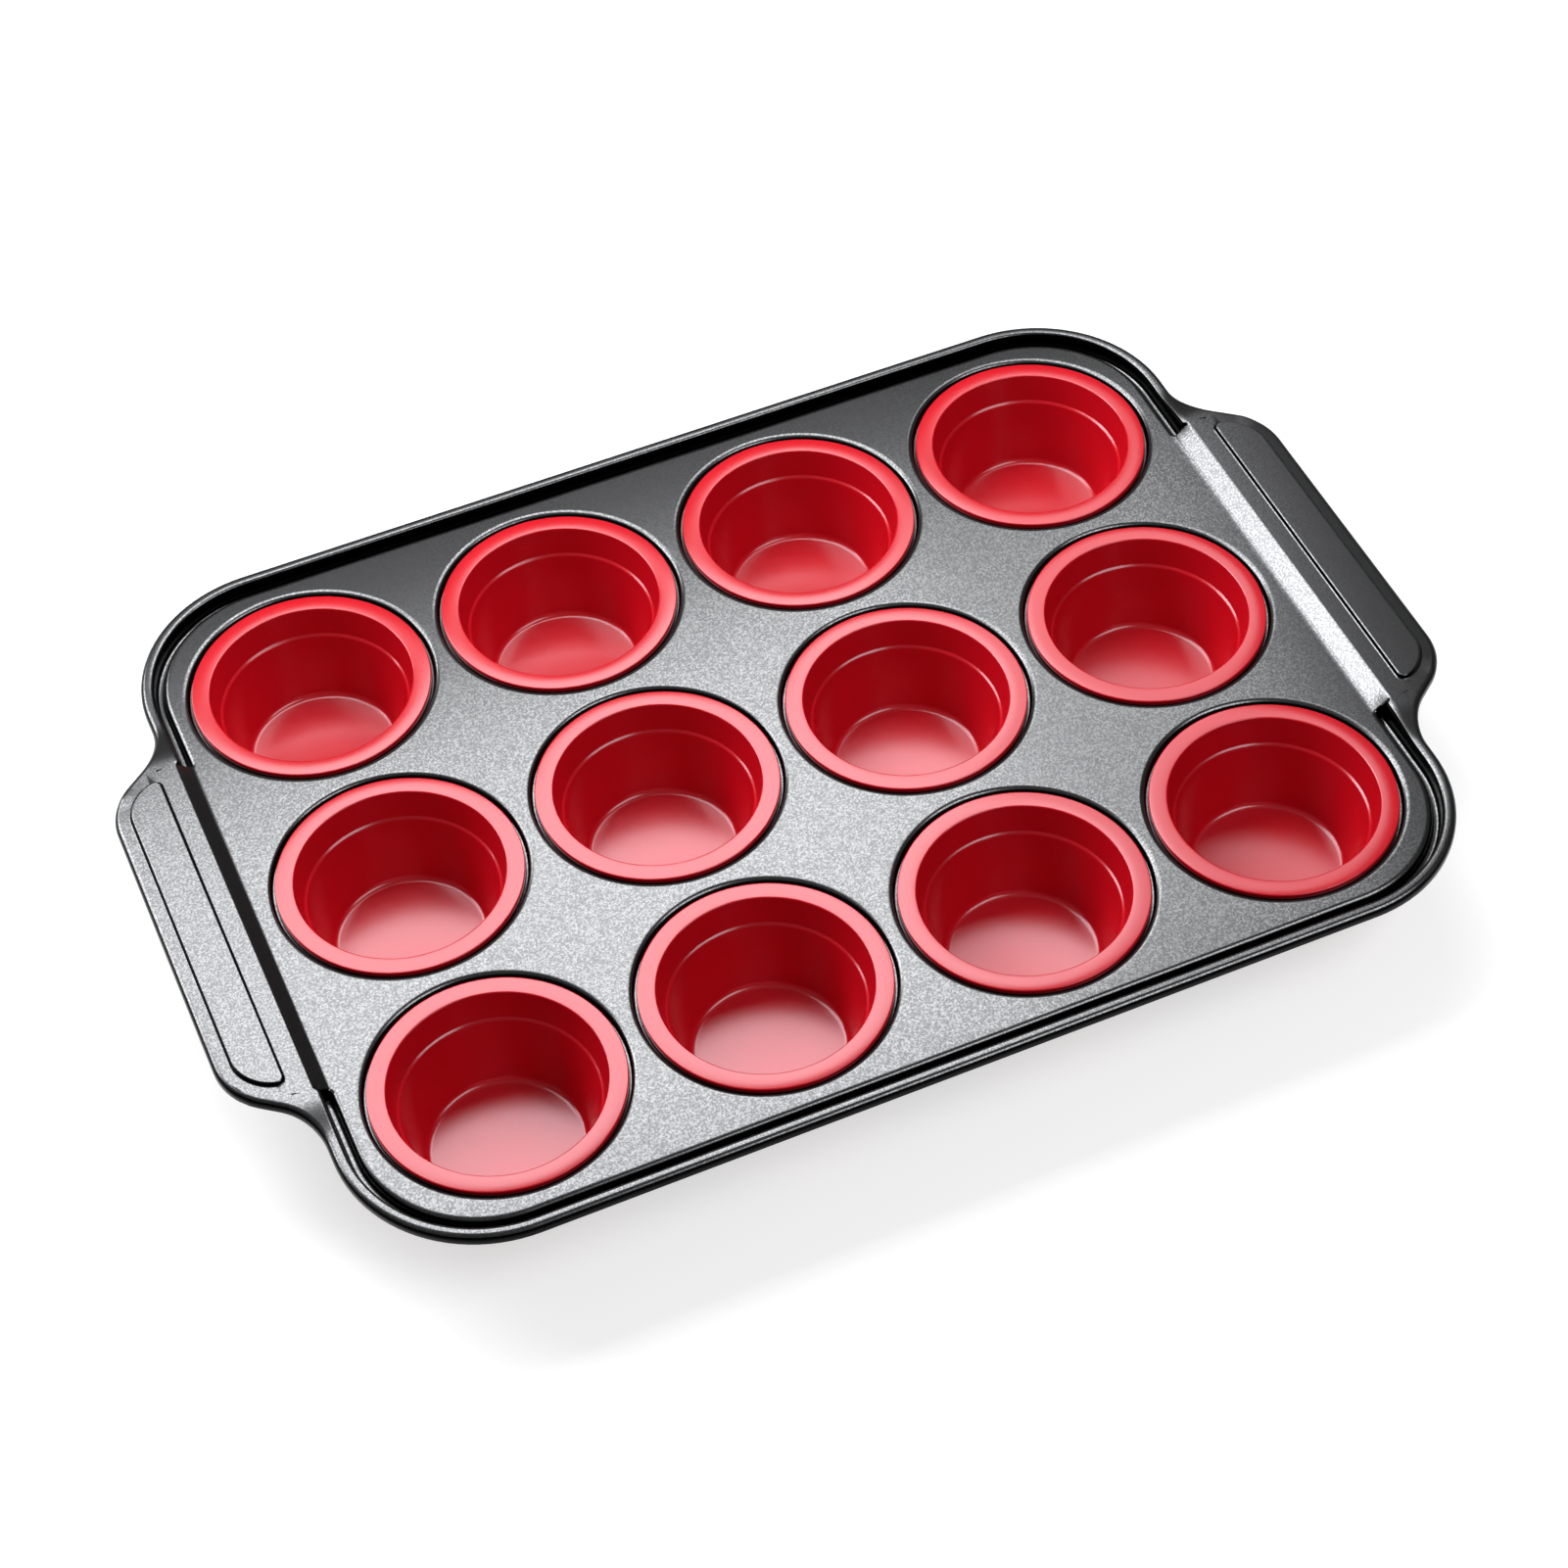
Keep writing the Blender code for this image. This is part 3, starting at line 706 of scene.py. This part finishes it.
def grain_group():
    """Fine grain: a fleck mask, a height and a broad cloud that vary over the surface."""
    group, start, end = new_group(
        "fine_grain",
        (("Place", "NodeSocketVector", None), ("Grains per metre", "NodeSocketFloat", 900.0)),
        (("Fleck", "NodeSocketFloat"), ("Height", "NodeSocketFloat"), ("Cloud", "NodeSocketFloat")),
    )
    nodes, links = group.nodes, group.links
    fine = nodes.new("ShaderNodeTexNoise")
    fine.inputs["Detail"].default_value = 2.0
    fine.inputs["Roughness"].default_value = 0.6
    cloud = nodes.new("ShaderNodeTexNoise")
    cloud.inputs["Scale"].default_value = 14.0
    cloud.inputs["Detail"].default_value = 3.0
    contrast = nodes.new("ShaderNodeMapRange")
    contrast.interpolation_type = "SMOOTHSTEP"
    contrast.inputs["From Min"].default_value = 0.36
    contrast.inputs["From Max"].default_value = 0.7
    links.new(start.outputs["Place"], fine.inputs["Vector"])
    links.new(start.outputs["Grains per metre"], fine.inputs["Scale"])
    links.new(start.outputs["Place"], cloud.inputs["Vector"])
    links.new(fine.outputs["Fac"], contrast.inputs["Value"])
    links.new(contrast.outputs["Result"], end.inputs["Fleck"])
    links.new(fine.outputs["Fac"], end.inputs["Height"])
    links.new(cloud.outputs["Fac"], end.inputs["Cloud"])
    return group


def shared_grain():
    """The grain group that both finishes use, made once."""
    return bpy.data.node_groups.get("fine_grain") or grain_group()


def new_material(name):
    """A node material, with its nodes, links and shader."""
    material = bpy.data.materials.new(name)
    material.use_nodes = True
    nodes = material.node_tree.nodes
    return material, nodes, material.node_tree.links, nodes["Principled BSDF"]


def map_range(nodes, links, source, target, low, high):
    """Spread a mask between two values."""
    spread = nodes.new("ShaderNodeMapRange")
    spread.inputs["To Min"].default_value = low
    spread.inputs["To Max"].default_value = high
    links.new(source, spread.inputs["Value"])
    links.new(spread.outputs["Result"], target)


def place_grain(nodes, links, grain, per_metre):
    """A coordinate node, and the shared grain on its object coordinates."""
    place = nodes.new("ShaderNodeTexCoord")
    group = nodes.new("ShaderNodeGroup")
    group.node_tree = grain
    group.inputs["Grains per metre"].default_value = per_metre
    links.new(place.outputs["Object"], group.inputs["Place"])
    return place, group


def blend(nodes, links, source, first, second):
    """A colour between two, by a mask."""
    mix = nodes.new("ShaderNodeMix")
    mix.data_type = "RGBA"
    mix.inputs["A"].default_value = (*first, 1.0)
    mix.inputs["B"].default_value = (*second, 1.0)
    links.new(source, mix.inputs["Factor"])
    return mix.outputs["Result"]


def paint_wall_shade(nodes, links, normal, tint):
    """Painted shade: a colour kept on level sheet and nearly black on steep walls, standing in for
    the dark reflections they catch.
    """
    upward = nodes.new("ShaderNodeSeparateXYZ")
    links.new(normal, upward.inputs[0])
    steep = nodes.new("ShaderNodeMapRange")
    steep.interpolation_type = "SMOOTHSTEP"
    steep.inputs["From Min"].default_value = STEEP_WALL
    steep.inputs["From Max"].default_value = LEVEL_SHEET
    steep.inputs["To Min"].default_value = PAINTED_WALL_SHADE
    links.new(upward.outputs["Z"], steep.inputs["Value"])
    shade = nodes.new("ShaderNodeMix")
    shade.data_type = "RGBA"
    shade.blend_type = "MULTIPLY"
    shade.inputs["Factor"].default_value = 1.0
    links.new(tint, shade.inputs["A"])
    links.new(steep.outputs["Result"], shade.inputs["B"])
    return shade.outputs["Result"]


def add_bump(nodes, links, height, shader, strength):
    """Very low relief from the grain's height."""
    bump = nodes.new("ShaderNodeBump")
    bump.inputs["Distance"].default_value = 0.01 * MM
    bump.inputs["Strength"].default_value = strength
    links.new(height, bump.inputs["Height"])
    links.new(bump.outputs["Normal"], shader.inputs["Normal"])


def coated_steel(colors, grain):
    """Charcoal non-stick coating with a fine metallic fleck, painted nearly black on steep walls as
    painted shade.
    """
    material, nodes, links, shader = new_material("coated_steel")
    place, flecks = place_grain(nodes, links, grain, COATING_GRAIN)
    fleck = flecks.outputs["Fleck"]
    tint = blend(nodes, links, fleck, colors.coating_dark, colors.coating_light)
    # Painted shade: skirts, groove and seat walls are painted nearly black, though the real coating
    # is the same colour there.
    tint = paint_wall_shade(nodes, links, place.outputs["Normal"], tint)
    links.new(tint, shader.inputs["Base Color"])
    gloss = colors.coating_gloss
    map_range(nodes, links, fleck, shader.inputs["Roughness"], gloss + 0.03, gloss - 0.03)
    shader.inputs["Metallic"].default_value = 0.95
    add_bump(nodes, links, flecks.outputs["Height"], shader, 0.4)
    return material


def red_silicone(colors, grain):
    """Smooth red food-grade silicone."""
    material, nodes, links, shader = new_material("red_silicone")
    _, skin = place_grain(nodes, links, grain, SILICONE_GRAIN)
    deeper = [channel * 0.85 for channel in colors.silicone]
    tint = blend(nodes, links, skin.outputs["Cloud"], colors.silicone, deeper)
    links.new(tint, shader.inputs["Base Color"])
    shader.inputs["Specular Tint"].default_value = (1.0, 0.9, 0.98, 1.0)
    gloss, fleck = colors.silicone_gloss, skin.outputs["Fleck"]
    map_range(nodes, links, fleck, shader.inputs["Roughness"], gloss - 0.02, gloss + 0.04)
    add_bump(nodes, links, skin.outputs["Height"], shader, 0.3)
    return material


def dress(piece, material):
    """Give a piece its one material."""
    piece.data.materials.clear()
    piece.data.materials.append(material)


def add_softbox(name, place, width, height, radiance):
    """A soft light of a given radiance that faces the middle of the pan."""
    bpy.ops.object.light_add(type="AREA", location=place)
    light = bpy.context.active_object
    light.name = light.data.name = name
    light.data.shape = "RECTANGLE"
    light.data.size = width
    light.data.size_y = height
    light.data.energy = radiance * width * height * 4
    light.visible_camera = False
    light.rotation_euler = Vector(place).to_track_quat("Z", "Y").to_euler()


def camera_share(nodes, links):
    """1 for what is seen directly, in gloss or through glass, 0 for the light it gives."""
    path = nodes.new("ShaderNodeLightPath")
    first, second = nodes.new("ShaderNodeMath"), nodes.new("ShaderNodeMath")
    for step in (first, second):
        step.operation = "MAXIMUM"
    links.new(path.outputs["Is Camera Ray"], first.inputs[0])
    links.new(path.outputs["Is Glossy Ray"], first.inputs[1])
    links.new(first.outputs[0], second.inputs[0])
    links.new(path.outputs["Is Transmission Ray"], second.inputs[1])
    return second.outputs[0]


def pale_floor(colors):
    """Matt white floor that keeps its shadow."""
    material, nodes, links, shader = new_material("pale_floor")
    shader.inputs["Base Color"].default_value = (*colors.floor, 1.0)
    shader.inputs["Roughness"].default_value = 0.9
    shader.inputs["Specular IOR Level"].default_value = 0.1
    shader.inputs["Emission Color"].default_value = (1.0, 1.0, 1.0, 1.0)
    glow = nodes.new("ShaderNodeMath")
    glow.operation = "MULTIPLY"
    glow.inputs[1].default_value = FLOOR_GLOW
    links.new(camera_share(nodes, links), glow.inputs[0])
    links.new(glow.outputs[0], shader.inputs["Emission Strength"])
    return material


def set_world():
    """Soft room light: dim near the ground, lighter above."""
    world = bpy.data.worlds.new("studio")
    bpy.context.scene.world = world
    world.use_nodes = True
    nodes, links = world.node_tree.nodes, world.node_tree.links
    place = nodes.new("ShaderNodeTexCoord")
    split = nodes.new("ShaderNodeSeparateXYZ")
    ramp = nodes.new("ShaderNodeValToRGB")
    links.new(place.outputs["Generated"], split.inputs[0])
    links.new(split.outputs["Z"], ramp.inputs["Fac"])
    elements = ramp.color_ramp.elements
    while len(elements) < len(ROOM_STOPS):
        elements.new(0.5)
    for element, (where, level) in zip(elements, ROOM_STOPS):
        element.position = where
        element.color = (level, level, level, 1.0)
    links.new(ramp.outputs["Color"], nodes["Background"].inputs["Color"])


def build_stage(colors):
    """Floor, lights, room light and the photograph's camera."""
    bpy.ops.object.select_all(action="DESELECT")
    bpy.ops.mesh.primitive_plane_add(size=FLOOR_SIZE, location=(0.0, 0.0, 0.0))
    floor = bpy.context.active_object
    floor.name = floor.data.name = "floor"
    dress(floor, pale_floor(colors))
    set_world()
    for softbox in SOFTBOXES:
        add_softbox(*softbox)
    bpy.ops.object.camera_add(location=CAMERA_PLACE)
    camera = bpy.context.active_object
    camera.name = camera.data.name = "photo_camera"
    camera.rotation_euler = [math.radians(turn) for turn in CAMERA_TURN]
    camera.data.lens = CAMERA_LENS
    camera.data.sensor_width = CAMERA_SENSOR
    camera.data.clip_start = 0.01
    bpy.context.scene.camera = camera
    bpy.context.scene.view_settings.view_transform = "Standard"


class PAN_OT_tray(Operator):
    """Model the pressed tray, its rolled edges, seats and handles"""

    bl_idname = "muffin_pan.tray"
    bl_label = "Tray"

    def execute(self, context):
        tray = model_tray(context.scene.pan_tray)
        dress(tray, coated_steel(context.scene.pan_colors, shared_grain()))
        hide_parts("tray")
        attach(tray, "tray")
        return {"FINISHED"}


class PAN_OT_cups(Operator):
    """Turn one silicone cup and copy it into every seat"""

    bl_idname = "muffin_pan.cups"
    bl_label = "Cups"

    def execute(self, context):
        master = model_cup(context.scene.pan_cups)
        dress(master, red_silicone(context.scene.pan_colors, shared_grain()))
        for name, place in cup_places():
            cup = copy_at(master, "silicone_" + name, place)
            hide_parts(name)
            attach(cup, name)
        bpy.data.objects.remove(master, do_unlink=True)
        return {"FINISHED"}


class PAN_OT_stage(Operator):
    """Lay the pale floor, hang the soft lights and set the camera"""

    bl_idname = "muffin_pan.stage"
    bl_label = "Stage"

    def execute(self, context):
        build_stage(context.scene.pan_colors)
        return {"FINISHED"}


class PAN_PT_sidebar(Panel):
    """Operators and sizes of the muffin pan"""

    bl_idname = "PAN_PT_sidebar"
    bl_label = "Muffin pan"
    bl_space_type = "VIEW_3D"
    bl_region_type = "UI"
    bl_category = "Muffin pan"

    def draw(self, context):
        scene = context.scene
        for operator in OPERATORS:
            self.layout.operator(operator.bl_idname)
        for group in (scene.pan_colors, scene.pan_cups, scene.pan_tray):
            column = self.layout.column(align=True)
            for name in group.__annotations__:
                column.prop(group, name)


GROUPS = {"pan_tray": PanTraySizes, "pan_cups": PanCupSizes, "pan_colors": PanColors}
OPERATORS = (PAN_OT_stage, PAN_OT_tray, PAN_OT_cups)
CLASSES = (*GROUPS.values(), *OPERATORS, PAN_PT_sidebar)


def register():
    """Register the classes and hang the sizes on the scene."""
    for made in CLASSES:
        bpy.utils.register_class(made)
    for name, group in GROUPS.items():
        setattr(bpy.types.Scene, name, PointerProperty(type=group))


def unregister():
    """Take the sizes and classes away again."""
    for name in GROUPS:
        delattr(bpy.types.Scene, name)
    for made in reversed(CLASSES):
        bpy.utils.unregister_class(made)


def main():
    """Build everything."""
    register()
    bpy.ops.muffin_pan.stage()
    bpy.ops.muffin_pan.tray()
    bpy.ops.muffin_pan.cups()


if __name__ == "__main__":
    main()
